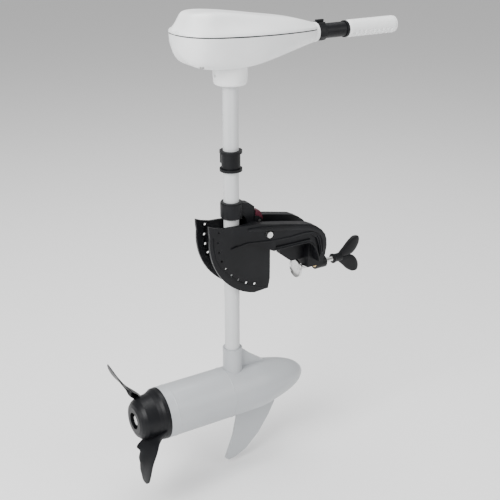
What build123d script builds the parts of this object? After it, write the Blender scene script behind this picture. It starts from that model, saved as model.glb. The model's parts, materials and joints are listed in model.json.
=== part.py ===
from build123d import *
import os
from math import cos, sin, radians

# Electric trolling motor on a transom bracket.  Lengths are in millimetres.
# The origin is the middle of the bracket's underside, where it rests on the boat's transom.
# +X runs into the boat along the tiller, +Z is up.  Heights are above the transom's top.

# ---- column ----
column_x = -100.0            # the column's axis, behind the transom seat
column_r = 14.3
column_wall = 2.3
column_top = 368.0
column_foot = -231.0
harness_r = 6.0
stop_r = column_r + 2.9      # the depth stop round the column
stop_low = 158.0
stop_high = 196.0

# ---- clearances ----
running_gap = 0.05           # radial gap of a shaft in its bearing
side_gap = 0.3               # gap between faces that move past each other

# ---- motor pod ----
motor_r = 50.0
motor_z = column_foot - 15.6 - motor_r
motor_wall = 3.5
tube_rear = column_x - 142.8
tube_front = column_x - 20.7
bell_rear = column_x - 159.6
socket_r = column_r + 4.7
socket_top = column_foot + 30.3
motor_shaft_r = 5.0
magnet_thickness = 7.0
air_gap = 5.5
armature_r = motor_r - motor_wall - magnet_thickness - air_gap
armature_length = 62.0
commutator_r = 13.0
bearing_r = 11.0
bearing_width = 7.0
through_bolt_y = motor_r - 9.5

# ---- propeller ----
hub_rear = bell_rear - 0.8
hub_length = 55.0
hub_bore_r = motor_r - 14.0
blade_root_r = hub_bore_r
blade_tip_r = 117.0
blade_rake = 40.0            # how far the tip stands aft of the root
blade_angle = 47.0           # where the first blade stands, from +Y towards +Z
blade_count = 2

# ---- steering head ----
sleeve_r = column_r + 2.7
collar_r = sleeve_r + 3.5
collar_low = 71.0
collar_high = 97.0
knob_turn = 45.0             # where the tension knob stands round the collar, from +X towards +Y
knob_height = 80.0
knob_foot = collar_r + 4.5   # how far out the tension knob's boss reaches
tension_knob_r = 12.0

# ---- bracket ----
pivot_x = column_x + 58.0
pivot_z = 35.0
rim_r = 119.0
track_r = rim_r - 17.5       # radius of the curved slot that the lock pin runs in
track_depth = 3.6            # the slot is cut from inside, and leaves a skin outside
lock_pin_r = 3.4
lock_window_r = 2.5
lock_angle = 212.5
notch_step = 10.9
notches_each_side = 4
plate_inner = collar_r + 1.0
plate_thickness = 5.5
arm_outer = 40.0
seat_front = column_x + 68.0
arm_end = column_x + 190.0
pivot_r = 5.0
cheek_inner = column_r + 1.0
cheek_gap = 0.6

# ---- clamp ----
clamp_z = -66.5
clamp_rod_r = 5.0
boss_front = column_x + 190.0
boss_back = column_x + 214.0
insert_r = clamp_rod_r + 3.0
boss_r = insert_r + 4.0
clamp_hub_r = clamp_rod_r + 3.5
pad_r = 19.0
pad_x = column_x + 144.0
knob_x = column_x + 234.0

# ---- head and tiller ----
head_wall = 3.5
seam_rear = column_top + 38.8
seam_front = column_top + 26.4
seam_gap = 2.0
post_joint = column_top + 28.0   # where the cover's screw posts stand on the housing's
tiller_z = column_top + 20.3
gland_x = column_x - 60.0
gland_z = column_top + 18.0
neck_r = column_r + 16.2
neck_spigot_r = column_r + 9.7
extension_r = 13.5
extension_bore = extension_r - 3.3
nozzle_r = extension_r + 1.5
extension_inner_end = column_x + 62.0
nozzle_face = column_x + 178.0
grip_start = column_x + 246.0
grip_end = column_x + 358.0
grip_r = extension_r + 2.3
bar_half = 3.0
switch_rear = column_x + 36.0
bar_start = switch_rear + 13.0


def cylinder_x(radius, start, stop, y, z):
    """A round bar along X."""
    place = Plane(origin=(start, y, z), x_dir=(0, 1, 0), z_dir=(1, 0, 0))
    return extrude(place * Circle(radius), amount=stop - start)


def cylinder_y(radius, start, stop, x, z):
    """A round bar along Y."""
    place = Plane(origin=(x, start, z), x_dir=(1, 0, 0), z_dir=(0, 1, 0))
    return extrude(place * Circle(radius), amount=stop - start)


def cylinder_z(radius, low, high, x=column_x, y=0.0):
    """A round bar along Z."""
    return extrude(Plane(origin=(x, y, low)) * Circle(radius), amount=high - low)


def upright(points, start, stop):
    """A plate standing in the XZ plane, from one Y to another."""
    place = Plane(origin=(0, start, 0), x_dir=(1, 0, 0), z_dir=(0, -1, 0))
    outline = make_face(Polyline(*points, close=True))
    return extrude(place * outline, amount=-(stop - start))


def block(x0, x1, y0, y1, z0, z1):
    """A plain box between two corners."""
    middle = ((x0 + x1) / 2, (y0 + y1) / 2, (z0 + z1) / 2)
    return Pos(*middle) * Box(x1 - x0, y1 - y0, z1 - z0)


def turned_about_motor(points):
    """A body of revolution about the motor's axis, from (x, radius) pairs."""
    outline = make_face(Polyline(*[(x, motor_z + r) for x, r in points], close=True))
    place = Plane(origin=(0, 0, 0), x_dir=(1, 0, 0), z_dir=(0, -1, 0))
    return revolve(place * outline, axis=Axis((0, 0, motor_z), (1, 0, 0)))


def on_circle(radius, angle):
    """A point of the XZ plane at a radius and angle about the tilt pivot."""
    return (pivot_x + radius * cos(radians(angle)), pivot_z + radius * sin(radians(angle)))


def from_column(points):
    """Outline points measured from the column's axis."""
    return [(column_x + x, z) for x, z in points]


# ------------------------------------------------------------------ column

def column_tube():
    tube = cylinder_z(column_r, column_foot, column_top)
    return tube - cylinder_z(column_r - column_wall, column_foot, column_top)


def column_harness():
    return cylinder_z(harness_r, motor_z + 40.0, column_top + 8.0)


def harness_grommets():
    rings = []
    for low in (column_foot, column_top - 8.0):
        ring = cylinder_z(column_r - column_wall, low, low + 8.0)
        rings.append(ring - cylinder_z(harness_r, low, low + 8.0))
    return Compound(rings)


def depth_collar():
    body = cylinder_z(stop_r, stop_low, stop_high)
    body += cylinder_z(stop_r + 3.4, stop_low, stop_low + 5.0)
    body += cylinder_z(stop_r + 3.4, stop_high - 5.0, stop_high)
    middle = (stop_low + stop_high) / 2
    start = column_r - 4.3
    body += block(column_x - 9.0, column_x + 9.0, start, start + 14.0, middle - 9.0, middle + 9.0)
    body -= cylinder_z(column_r + running_gap, stop_low - 1.0, stop_high + 1.0)
    body -= cylinder_y(3.0, start, start + 15.0, column_x, middle)
    return body


def depth_screw():
    middle = (stop_low + stop_high) / 2
    face = column_r + 9.7
    stud = cylinder_y(3.0, column_r + side_gap, face, column_x, middle)
    return stud + cylinder_y(5.5, face, face + 5.0, column_x, middle)


# ------------------------------------------------------------------ motor pod

def nose_cone():
    skin = [(tube_front, 0.0), (tube_front, motor_r)]
    for step, share in ((33, 1), (45, .992), (56, .972), (68, .936), (80, .888), (92, .838), (104, .78),
                        (116, .716), (127, .64), (137, .552), (146, .448), (153, .332), (158, .216),
                        (161, .104), (162, 0)):
        skin.append((column_x + step, motor_r * share))
    body = turned_about_motor(skin)
    body += cylinder_z(socket_r, motor_z + 20.0, socket_top)
    back = motor_z + motor_r
    fin = from_column([(0, socket_top - 3), (socket_r, socket_top - 6), (40, back + 20.6), (68, back + 0.6),
                       (68, back - 13.4), (0, back - 13.4)])
    body += upright(fin, -5.0, 5.0)
    skeg = [(8, 40), (98, 34), (97, 55.4), (83, 82.4), (59, 117.4), (28, 146.4), (4, 157.4), (-12, 159.4),
            (-19, 154.4), (-10, 131.4), (-1, 107.4), (7, 69.4)]
    body += upright(from_column([(x, motor_z - drop) for x, drop in skeg]), -3.0, 3.0)
    body -= turned_about_motor([(tube_front, 0.0), (tube_front, motor_r - motor_wall),
                                (column_x + 30, motor_r - motor_wall), (column_x + 30, 0.0)])
    body -= cylinder_z(column_r, column_foot, socket_top + 1.0)
    body -= cylinder_z(harness_r + side_gap, motor_z + 30.0, column_foot + 1.0)
    bearing_seat = column_x + 30.0
    body += cylinder_x(bearing_r + 4.0, bearing_seat - 10.0, bearing_seat + 1.0, 0, motor_z)
    body -= cylinder_x(bearing_r, bearing_seat - 10.0, bearing_seat - 10.0 + bearing_width, 0, motor_z)
    body -= cylinder_x(motor_shaft_r + 1.0, bearing_seat - 10.0, bearing_seat + 4.0, 0, motor_z)
    return body


def motor_tube():
    tube = cylinder_x(motor_r, tube_rear, tube_front, 0, motor_z)
    return tube - cylinder_x(motor_r - motor_wall, tube_rear, tube_front, 0, motor_z)


def end_bell():
    bell = cylinder_x(motor_r, bell_rear, tube_rear, 0, motor_z)
    bell -= cylinder_x(motor_r - motor_wall - 4.0, bell_rear + 6.0, tube_rear, 0, motor_z)
    bell += cylinder_x(bearing_r + 4.0, bell_rear + 3.0, tube_rear, 0, motor_z)
    bell -= cylinder_x(bearing_r, tube_rear - bearing_width, tube_rear, 0, motor_z)
    bell -= cylinder_x(motor_shaft_r + 4.0, bell_rear, bell_rear + 7.0, 0, motor_z)
    bell -= cylinder_x(motor_shaft_r + 1.0, bell_rear, tube_rear, 0, motor_z)
    for y in (-through_bolt_y, through_bolt_y):
        bell -= cylinder_x(2.5, bell_rear, tube_rear, y, motor_z)
    return bell


def through_bolts():
    bolts = []
    for y in (-through_bolt_y, through_bolt_y):
        bolt = cylinder_x(2.5, bell_rear + 0.2, tube_front - 4.0, y, motor_z)
        bolts.append(bolt)
    return Compound(bolts)


def bearings():
    front = column_x + 20.0
    rings = []
    for start in (tube_rear - bearing_width, front):
        ring = cylinder_x(bearing_r, start, start + bearing_width, 0, motor_z)
        rings.append(ring - cylinder_x(motor_shaft_r + running_gap, start, start + bearing_width, 0, motor_z))
    return Compound(rings)


def shaft_seal():
    seal = cylinder_x(motor_shaft_r + 4.0, bell_rear, bell_rear + 7.0, 0, motor_z)
    return seal - cylinder_x(motor_shaft_r + running_gap, bell_rear, bell_rear + 7.0, 0, motor_z)


def magnets():
    outer = motor_r - motor_wall
    inner = outer - magnet_thickness
    start = tube_rear + 14.0
    ring = cylinder_x(outer, start, start + armature_length + 10.0, 0, motor_z)
    ring -= cylinder_x(inner, start, start + armature_length + 10.0, 0, motor_z)
    for side in (-1, 1):
        ring -= Pos(start + 40, side * outer, motor_z) * Box(200, 30, 34)
    return Compound(list(ring.solids()))


def armature():
    start = tube_rear + 18.0
    core = cylinder_x(armature_r, start, start + armature_length, 0, motor_z)
    for turn in range(12):
        angle = radians(30.0 * turn)
        spot = (start + armature_length / 2, armature_r * cos(angle), motor_z + armature_r * sin(angle))
        core -= Pos(*spot) * Rot(30.0 * turn, 0, 0) * Box(armature_length + 2, 12.0, 3.0)
    return core - cylinder_x(motor_shaft_r, start, start + armature_length, 0, motor_z)


def commutator():
    start = tube_rear + 18.0 + armature_length + 6.0
    drum = cylinder_x(commutator_r, start, start + 16.0, 0, motor_z)
    return drum - cylinder_x(motor_shaft_r, start, start + 16.0, 0, motor_z)


def brush_start():
    return tube_rear + 18.0 + armature_length + 9.0


def brushes():
    start = brush_start()
    pair = []
    for side in (-1, 1):
        inner = side * (commutator_r + running_gap)
        outer = side * (commutator_r + 14.0)
        low = min(inner, outer)
        high = max(inner, outer)
        pair.append(block(start, start + 9.0, low, high, motor_z - 4.0, motor_z + 4.0))
    return Compound(pair)


def brush_plate():
    start = brush_start() + 9.0
    plate = cylinder_x(motor_r - motor_wall, start, start + 3.0, 0, motor_z)
    plate -= cylinder_x(commutator_r + 4.0, start, start + 3.0, 0, motor_z)
    for y in (-through_bolt_y, through_bolt_y):
        plate -= cylinder_x(2.5, start, start + 3.0, y, motor_z)
    plate -= cylinder_z(harness_r + 2.0, motor_z + 30.0, motor_z + motor_r + 10.0)
    return plate


def motor_shaft():
    shaft = cylinder_x(motor_shaft_r, hub_rear - hub_length + 4.0, column_x + 31.0, 0, motor_z)
    return shaft - cylinder_y(2.5, -9.0, 9.0, hub_rear - 30.0, motor_z)


def drive_pin():
    return cylinder_y(2.5, -15.0, 15.0, hub_rear - 30.0, motor_z)


# ------------------------------------------------------------------ propeller

def blade_section(radius, chord, thickness, twist, angle):
    """An oval blade section facing outwards along the blade's own radius."""
    out = (0.0, cos(radians(angle)), sin(radians(angle)))
    tangent = (0.0, -sin(radians(angle)), cos(radians(angle)))
    along = (sin(radians(twist)), tangent[1] * cos(radians(twist)), tangent[2] * cos(radians(twist)))
    left = (blade_tip_r - radius) / (blade_tip_r - blade_root_r)
    lean = blade_rake * (1.0 - left ** 1.5)
    centre = (hub_rear - 28.0 - lean, out[1] * radius, motor_z + out[2] * radius)
    place = Plane(origin=centre, x_dir=along, z_dir=out)
    return place * Ellipse(chord / 2, thickness / 2)


def blade(angle):
    span = blade_tip_r - blade_root_r
    stations = ((-0.03, 46, 7.0, -46), (0.2, 52, 6.2, -40), (0.4, 51, 5.2, -29), (0.62, 46, 4.2, -19),
                (0.82, 36, 3.2, -13), (0.94, 23, 2.5, -11), (1.0, 10, 1.8, -10))
    rings = []
    for share, chord, thickness, twist in stations:
        rings.append(blade_section(blade_root_r + share * span, chord, thickness, twist, angle))
    return loft(rings)


def propeller():
    skin = [(hub_rear, 0.0), (hub_rear, motor_r)]
    for step, less in ((8, 0.6), (13, 3.5), (20, 6.4), (33, 8), (42, 10), (48, 13.5), (52.5, 18)):
        skin.append((hub_rear - step, motor_r - less))
    skin += [(hub_rear - hub_length, motor_r - 24.0), (hub_rear - hub_length, 0.0)]
    body = turned_about_motor(skin)
    for turn in range(blade_count):
        body += blade(blade_angle + 360.0 / blade_count * turn)
    body -= cylinder_x(hub_bore_r, hub_rear - 12.0, hub_rear, 0, motor_z)
    body -= cylinder_x(motor_shaft_r, hub_rear - hub_length, hub_rear, 0, motor_z)
    body -= cylinder_y(2.5, -15.0, 15.0, hub_rear - 30.0, motor_z)
    body -= block(hub_rear - 30.0, hub_rear - 12.0, -15.0, 15.0, motor_z - 2.5, motor_z + 2.5)
    body -= cylinder_x(16.0, hub_rear - hub_length, hub_rear - hub_length + 14.0, 0, motor_z)
    return body


def prop_washer():
    face = hub_rear - hub_length + 14.0
    ring = cylinder_x(11.0, face - 2.0, face, 0, motor_z)
    return ring - cylinder_x(motor_shaft_r, face - 2.0, face, 0, motor_z)


def prop_nut():
    face = hub_rear - hub_length + 12.0
    place = Plane(origin=(face - 8.0, 0, motor_z), x_dir=(0, 1, 0), z_dir=(1, 0, 0))
    nut = extrude(place * RegularPolygon(9.5, 6), amount=8.0)
    return nut - cylinder_x(motor_shaft_r, face - 8.0, face, 0, motor_z)


# ------------------------------------------------------------------ bracket

def arm_outline():
    """The hooked arm that lies over the transom, seen from the side."""
    return from_column([(-12, 59), (40, 58), (94, 49), (149, 38), (164, 31), (176, 22), (185, 11), (189, 0),
                        (190, -14), (187, -32), (182, -45), (173, -45), (171, -30), (165, -13), (160, -4),
                        (154, 0), (68, 0), (30, 18), (-12, 24)])


def panel_outline():
    """The quadrant that carries the tilt track, with the leg against the transom."""
    rim = [on_circle(rim_r, angle) for angle in range(174, 262, 4)]
    head = from_column([(64, -79), (68, -60), (68, 50), (40, 58), (0, 59), (-33, 60.5), (-50, 64.5)])
    return [on_circle(rim_r + 6, 164)] + [on_circle(rim_r + 3, 169)] + rim + head


def arm_taper(side):
    """The wedge that makes the arm widen from the quadrant to the hook."""
    start = column_x - 12.0
    full = column_x + 66.0
    inner = plate_inner + plate_thickness
    edge = [(start, inner), (full, arm_outer), (arm_end + 10, arm_outer), (arm_end + 10, plate_inner),
            (start, plate_inner)]
    outline = make_face(Polyline(*[(x, side * y) for x, y in edge], close=True))
    return extrude(Plane(origin=(0, 0, -100)) * outline, amount=220.0)


def side_plate(side):
    near = side * plate_inner
    far = side * (plate_inner + plate_thickness)
    plate = upright(panel_outline(), near, far)
    arm = upright(arm_outline(), near, side * arm_outer)
    plate += arm & arm_taper(side)
    pocket = from_column([(72, 6), (72, 17), (136, 19), (154, 16), (166, 6), (172, -12), (175, -34), (172, -34),
                          (168, -16), (161, -1), (153, 6)])
    plate -= upright(pocket, side * (arm_outer - 4.0), side * (arm_outer + 1.0))
    track = []
    low = lock_angle - notch_step * notches_each_side - 3.0
    high = lock_angle + notch_step * notches_each_side + 3.0
    steps = 30
    half = lock_pin_r + side_gap
    for step in range(steps + 1):
        track.append(on_circle(track_r - half, low + (high - low) * step / steps))
    for step in range(steps + 1):
        track.append(on_circle(track_r + half, high - (high - low) * step / steps))
    inside = side * (plate_inner - 1.0)
    floor = side * (plate_inner + track_depth)
    plate -= upright(track, inside, floor)
    for step in range(-notches_each_side, notches_each_side + 1):
        x, z = on_circle(track_r + half + 1.0, lock_angle + notch_step * step)
        plate -= cylinder_y(lock_pin_r - 0.2, min(inside, floor), max(inside, floor), x, z)
        x, z = on_circle(track_r, lock_angle + notch_step * step)
        outside = side * (arm_outer + 1.0)
        plate -= cylinder_y(lock_window_r, min(inside, outside), max(inside, outside), x, z)
    plate -= cylinder_y(pivot_r, -50, 50, pivot_x, pivot_z)
    spot = side * pivot_face()
    plate -= cylinder_y(9.5, min(spot, side * 50.0), max(spot, side * 50.0), pivot_x, pivot_z)
    for x, z in frame_screw_spots():
        plate -= cylinder_y(3.0, -30.0, 50, x, z)
    return plate


def frame_screw_spots():
    return from_column([(86, 7), (146, 7)])


def clamp_frame():
    """The middle casting: transom seat, front leg, stiffening rib, clamp block and boss."""
    body = block(seat_front - 6.0, column_x + 160.0, -plate_inner, plate_inner, 0.0, 13.0)
    leg = from_column([(62, 13), (62, -68), (60, -76), (66, -76), (68, -68), (68, 13)])
    body += upright(leg, -plate_inner, plate_inner)
    rib = from_column([(104, 5), (104, -25), (120, -38), (130, -46), (162, -46), (162, 5)])
    body += upright(rib, -6.0, 6.0)
    lump = from_column([(159, 13), (159, -61), (196, -61), (196, -20), (184, 4), (164, 13)])
    body += upright(lump, -plate_inner, plate_inner)
    body += cylinder_x(boss_r, boss_front, boss_back, 0, clamp_z)
    body += block(boss_front, column_x + 196.0, -boss_r, boss_r, clamp_z, -40.0)
    body -= cylinder_x(insert_r, boss_front, boss_back, 0, clamp_z)
    for x, z in frame_screw_spots():
        body -= cylinder_y(3.0, -50.0, 50.0, x, z)
    return body


def frame_screws():
    screws = []
    for x, z in frame_screw_spots():
        shank = cylinder_y(3.0, -30.0, arm_outer, x, z)
        head = cylinder_y(5.5, arm_outer, arm_outer + 3.5, x, z)
        screws.append(shank + head)
    return Compound(screws)


def pivot_face():
    """How far out the pivot bolt's seats are, just below the widening arm's skin."""
    share = (pivot_x - (column_x - 12.0)) / 78.0
    return plate_inner + plate_thickness + share * (arm_outer - plate_inner - plate_thickness) - 1.8


def pivot_bolt():
    outer = pivot_face()
    shank = cylinder_y(pivot_r, -outer, outer + 7.0, pivot_x, pivot_z)
    return shank + cylinder_y(6.0, -outer - 5.5, -outer, pivot_x, pivot_z)


def pivot_nut():
    outer = pivot_face()
    place = Plane(origin=(pivot_x, outer, pivot_z), x_dir=(1, 0, 0), z_dir=(0, 1, 0))
    nut = extrude(place * RegularPolygon(8.5, 6), amount=6.0)
    return nut - cylinder_y(pivot_r, outer, outer + 6.0, pivot_x, pivot_z)


# ------------------------------------------------------------------ swivel

def cheek_outer():
    return plate_inner - cheek_gap


def swivel():
    """The casting that tilts between the plates and carries the steering collar."""
    outer = cheek_outer()
    core = from_column([(12, 97), (12, 71), (20, 71), (28, 60), (28, 20), (46, 16), (62, 16), (72, 24), (72, 44),
                        (50, 45), (45, 48), (44, 84), (34, 92)])
    half = (knob_foot - tension_knob_r) * cos(radians(knob_turn)) - 0.2
    body = upright(core, -half, half)
    hub = from_column([(28, 56), (28, 20), (46, 16), (62, 16), (72, 24), (72, 44), (48, 45), (44, 56)])
    body += upright(hub, -outer, outer)
    x, z = on_circle(track_r, lock_angle)
    cheek = from_column([(30, 56), (70, 44), (70, 22), (40, 4)])
    cheek += [(x + 13.6, z - 16.5), (x - 6.4, z - 4.5), (x - 8.4, z + 11.5), (column_x + 6, 50)]
    for side in (-1, 1):
        body += upright(cheek, side * cheek_inner, side * outer)
    body += cylinder_z(collar_r, collar_low, collar_high)
    body -= cylinder_z(sleeve_r + running_gap, collar_low - 1, collar_high + 1)
    body -= cylinder_z(column_r + 1.0, -60.0, collar_low)
    body -= cylinder_z(sleeve_r + 2.5, collar_low - 4.0, collar_low)
    body -= block(column_x + 46.5, column_x + 80.0, -7.3, 7.3, 44.0, 100.0)
    for side in (-1, 1):
        ear = from_column([(44, 44), (62, 42), (60, 58), (54, 63), (44, 66)])
        body += upright(ear, side * 7.3, side * 11.0)
    body -= cylinder_y(pivot_r + running_gap, -60, 60, pivot_x, pivot_z)
    body -= cylinder_y(2.5, -11.0, 11.0, column_x + 54.0, 55.0)
    body -= cylinder_y(lock_pin_r, -60, 60, x, z)
    body += knob_boss()
    return body - knob_bar(3.0, 10.0, knob_foot + 1.0)


def knob_direction():
    return (cos(radians(knob_turn)), sin(radians(knob_turn)))


def knob_bar(radius, start, stop):
    """A round bar pointing out of the collar along the tension knob's axis."""
    dx, dy = knob_direction()
    place = Plane(origin=(column_x + dx * start, dy * start, knob_height), x_dir=(-dy, dx, 0), z_dir=(dx, dy, 0))
    return extrude(place * Circle(radius), amount=stop - start)


def knob_boss():
    boss = knob_bar(7.0, sleeve_r + 1.0, knob_foot)
    return boss - cylinder_z(sleeve_r + running_gap, 70.0, 98.0)


def tension_knob():
    knob = knob_bar(tension_knob_r, knob_foot + side_gap, knob_foot + 11.0)
    for turn in range(8):
        dx, dy = knob_direction()
        angle = radians(45.0 * turn)
        reach = tension_knob_r + 1.1
        side = reach * cos(angle)
        middle = (column_x + dx * knob_foot - dy * side, dy * knob_foot + dx * side,
                  knob_height + reach * sin(angle))
        place = Plane(origin=middle, x_dir=(-dy, dx, 0), z_dir=(dx, dy, 0))
        knob -= extrude(place * Circle(2.4), amount=12.0)
    return knob


def tension_stud():
    return knob_bar(3.0 - running_gap, sleeve_r + side_gap, knob_foot + side_gap)


def steering_sleeve():
    body = cylinder_z(sleeve_r, collar_low - 0.3, collar_high + 0.3)
    body += cylinder_z(sleeve_r + 2.0, collar_high + 0.3, collar_high + 2.5)
    body += cylinder_z(sleeve_r + 1.6, collar_low - 3.0, collar_low - 0.3)
    return body - cylinder_z(column_r + running_gap, collar_low - 4, collar_high + 4)


def lock_pin():
    x, z = on_circle(track_r, lock_angle)
    reach = plate_inner + track_depth - side_gap
    return cylinder_y(lock_pin_r, -reach, reach, x, z)


def release_lever():
    shape = from_column([(48.5, 50.5), (62, 49.5), (64, 56), (61, 66), (57, 73), (48, 75), (47.5, 62)])
    body = upright(shape, -7.0, 7.0)
    return body - cylinder_y(2.5 + running_gap, -8, 8, column_x + 54.0, 55.0)


def lever_pin():
    return cylinder_y(2.5, -11.0, 11.0, column_x + 54.0, 55.0)


# ------------------------------------------------------------------ clamp screw

def thread_insert():
    tube = cylinder_x(insert_r, boss_front, boss_back, 0, clamp_z)
    return tube - cylinder_x(clamp_rod_r + running_gap, boss_front, boss_back, 0, clamp_z)


def clamp_screw():
    return cylinder_x(clamp_rod_r, pad_x + 3.0, knob_x + 14.0, 0, clamp_z)


def clamp_pad():
    skin = [(pad_x - 1.0, 0), (pad_x - 1.0, pad_r - 4.0), (pad_x + 2.0, pad_r), (pad_x + 4.5, pad_r),
            (pad_x + 9.0, clamp_hub_r + 1.0), (pad_x + 14.0, clamp_hub_r), (pad_x + 14.0, 0)]
    outline = make_face(Polyline(*[(x, clamp_z + r) for x, r in skin], close=True))
    place = Plane(origin=(0, 0, 0), x_dir=(1, 0, 0), z_dir=(0, -1, 0))
    body = revolve(place * outline, axis=Axis((0, 0, clamp_z), (1, 0, 0)))
    return body - cylinder_x(clamp_rod_r + running_gap, pad_x + 2.7, pad_x + 15.0, 0, clamp_z)


def clamp_knob():
    body = cylinder_x(clamp_hub_r, knob_x, knob_x + 24.0, 0, clamp_z)
    body += cylinder_x(clamp_hub_r + 1.5, knob_x, knob_x + 4.0, 0, clamp_z)
    for side in (-1, 1):
        wing = [(knob_x + 10, 0), (knob_x + 14, 8), (knob_x + 27, 18), (knob_x + 37, 29), (knob_x + 50, 36),
                (knob_x + 61, 35), (knob_x + 66, 28), (knob_x + 64, 16), (knob_x + 50, 0)]
        body += upright([(x, clamp_z + side * r) for x, r in wing], -6.0, 6.0)
    return body - cylinder_x(clamp_rod_r, knob_x - 1.0, knob_x + 14.0, 0, clamp_z)


# ------------------------------------------------------------------ head

def head_stations():
    """Along X from the column: half width, underside and top above the column's end, corner radius."""
    return ((-107, 13, 22, 44, 8), (-104.5, 23, 12, 47, 10), (-100, 33, 4, 50, 14), (-94, 41, -4, 57, 18),
            (-88, 46, -9, 68, 20), (-76, 54.5, -16, 75, 22), (-50, 60.5, -21, 76, 24), (-26, 61.5, -23, 74, 24),
            (0, 61.5, -24, 71, 24), (30, 58.5, -23, 66, 22), (60, 54.5, -19, 61, 20), (100, 45, -10, 55.5, 17),
            (130, 36, -3, 49.5, 15), (158, 25, 2, 42, 13), (170, 20, 3, 38, 12))


def head_solid(inset):
    rings = []
    stations = head_stations()
    for number, (step, half, low, high, corner) in enumerate(stations):
        shift = 0.0
        if number == 0:
            shift = inset
        if number == len(stations) - 1:
            shift = -3 * inset
        middle = column_top + (low + high) / 2
        place = Plane(origin=(column_x + step + shift, 0, middle), x_dir=(0, 1, 0), z_dir=(1, 0, 0))
        width = 2 * (half - inset)
        height = high - low - 2 * inset
        rings.append(place * RectangleRounded(width, height, corner - inset))
    return loft(rings, ruled=True)


def above_seam(lift):
    """Everything above the sloping seam of the head."""
    rear = seam_rear + lift
    front = seam_front + lift
    high = column_top + 232.0
    points = from_column([(-130, rear + 1), (190, front - 1), (190, high), (-130, high)])
    return upright(points, -90.0, 90.0)


def head_cover():
    body = (head_solid(0.0) - head_solid(head_wall)) & above_seam(seam_gap)
    for x, y, rise in cover_screw_spots():
        body += cylinder_z(5.0, post_joint, post_joint + 44.0, x, y) & head_solid(0.5)
        body -= cylinder_z(2.0, post_joint - 1.0, post_joint + 8.0, x, y)
    return body - cylinder_x(nozzle_r, nozzle_face - 25.0, nozzle_face, 0, tiller_z)


def neck_seat():
    return cylinder_z(neck_r + 3.5, column_top - 26.0, column_top - 6.0)


def head_housing():
    body = head_solid(0.0) - head_solid(head_wall)
    body += neck_seat() & head_solid(0.0)
    body -= above_seam(0.0)
    shelf = block(switch_rear, switch_rear + 19.0, -18.0, 18.0, column_top - 28.0, column_top - 12.0)
    body += shelf & head_solid(0.5)
    for x, y, rise in cover_screw_spots():
        post = cylinder_z(5.0, column_top - 23.0, post_joint, x, y) & head_solid(0.5)
        body += post
        body -= cylinder_z(2.0, column_top - 38.0, post_joint + 1.0, x, y)
        body -= cylinder_z(4.0, column_top - 38.0, rise + 3.0, x, y)
    body -= cylinder_z(neck_r + side_gap, column_top - 38.0, column_top - 18.0)
    body -= cylinder_z(neck_spigot_r + 0.2, column_top - 28.0, column_top - 4.0)
    body -= cylinder_x(nozzle_r, nozzle_face - 25.0, nozzle_face, 0, tiller_z)
    body -= cylinder_y(8.0, 40.0, 70.0, gland_x, gland_z)
    return body


def head_gasket():
    ring = (head_solid(0.8) - head_solid(head_wall - 0.8)) - above_seam(seam_gap)
    ring &= above_seam(0.0)
    return ring - cylinder_x(nozzle_r, nozzle_face - 25.0, nozzle_face, 0, tiller_z)


def cover_screw_spots():
    """Where the cover's screws stand, and how high their heads are sunk."""
    rear = column_top - 14.0
    front = column_top - 6.0
    return [(column_x - 74.0, -34.0, rear), (column_x - 74.0, 34.0, rear),
            (column_x + 92.0, -24.0, front), (column_x + 92.0, 24.0, front)]


def cover_screws():
    screws = []
    for x, y, rise in cover_screw_spots():
        screw = cylinder_z(2.0, rise, post_joint + 8.0, x, y) + cylinder_z(3.6, rise, rise + 3.0, x, y)
        screws.append(screw)
    return Compound(screws)


def neck():
    """The cup under the head that grips the column."""
    skin = [(column_r, -54), (neck_r - 3.5, -54), (neck_r - 1.1, -52), (neck_r, -48), (neck_r, -18),
            (neck_spigot_r, -18), (neck_spigot_r, -2), (column_r, -2)]
    outline = make_face(Polyline(*[(column_x + r, column_top + z) for r, z in skin], close=True))
    place = Plane(origin=(0, 0, 0), x_dir=(1, 0, 0), z_dir=(0, -1, 0))
    body = revolve(place * outline, axis=Axis((column_x, 0, 0), (0, 0, 1)))
    return body - cylinder_x(3.0, column_x - neck_r - 9.5, column_x - column_r, 0, column_top - 37.0)


def neck_screw():
    return cylinder_x(3.0, column_x + 3.5 - neck_r, column_x - column_r, 0, column_top - 37.0)


def cable_gland():
    body = cylinder_y(11.0, 60.7, 65.5, gland_x, gland_z)
    body += cylinder_y(8.0, 50.0, 60.7, gland_x, gland_z)
    return body - cylinder_y(4.0, 49.0, 66.0, gland_x, gland_z)


# ------------------------------------------------------------------ speed switch

def switch_body():
    base = column_top - 4.0
    body = block(switch_rear, switch_rear + 20.0, -22.0, 22.0, base, base + 46.0)
    body -= cylinder_x(12.0, switch_rear + 10.0, switch_rear + 20.0, 0, tiller_z)
    foot = block(switch_rear + 1.0, switch_rear + 18.0, -16.0, 16.0, base - 8.0, base)
    return body + foot


def switch_rotor():
    drum = cylinder_x(12.0 - running_gap, switch_rear + 10.3, switch_rear + 20.0, 0, tiller_z)
    drum += cylinder_x(7.0, switch_rear + 20.0, switch_rear + 25.0, 0, tiller_z)
    low = tiller_z - bar_half
    return drum - block(bar_start, bar_start + 15.0, -bar_half, bar_half, low, low + 2 * bar_half)


def drive_bar():
    return block(bar_start, grip_end - 30.0, -bar_half, bar_half, tiller_z - bar_half, tiller_z + bar_half)


# ------------------------------------------------------------------ tiller

def nozzle_ring():
    body = cylinder_x(nozzle_r + 2.5, nozzle_face - 8.0, nozzle_face, 0, tiller_z)
    body += cylinder_x(nozzle_r, nozzle_face - 40.0, nozzle_face - 8.0, 0, tiller_z)
    return body - cylinder_x(extension_r + running_gap, nozzle_face - 41.0, nozzle_face + 1.0, 0, tiller_z)


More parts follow.
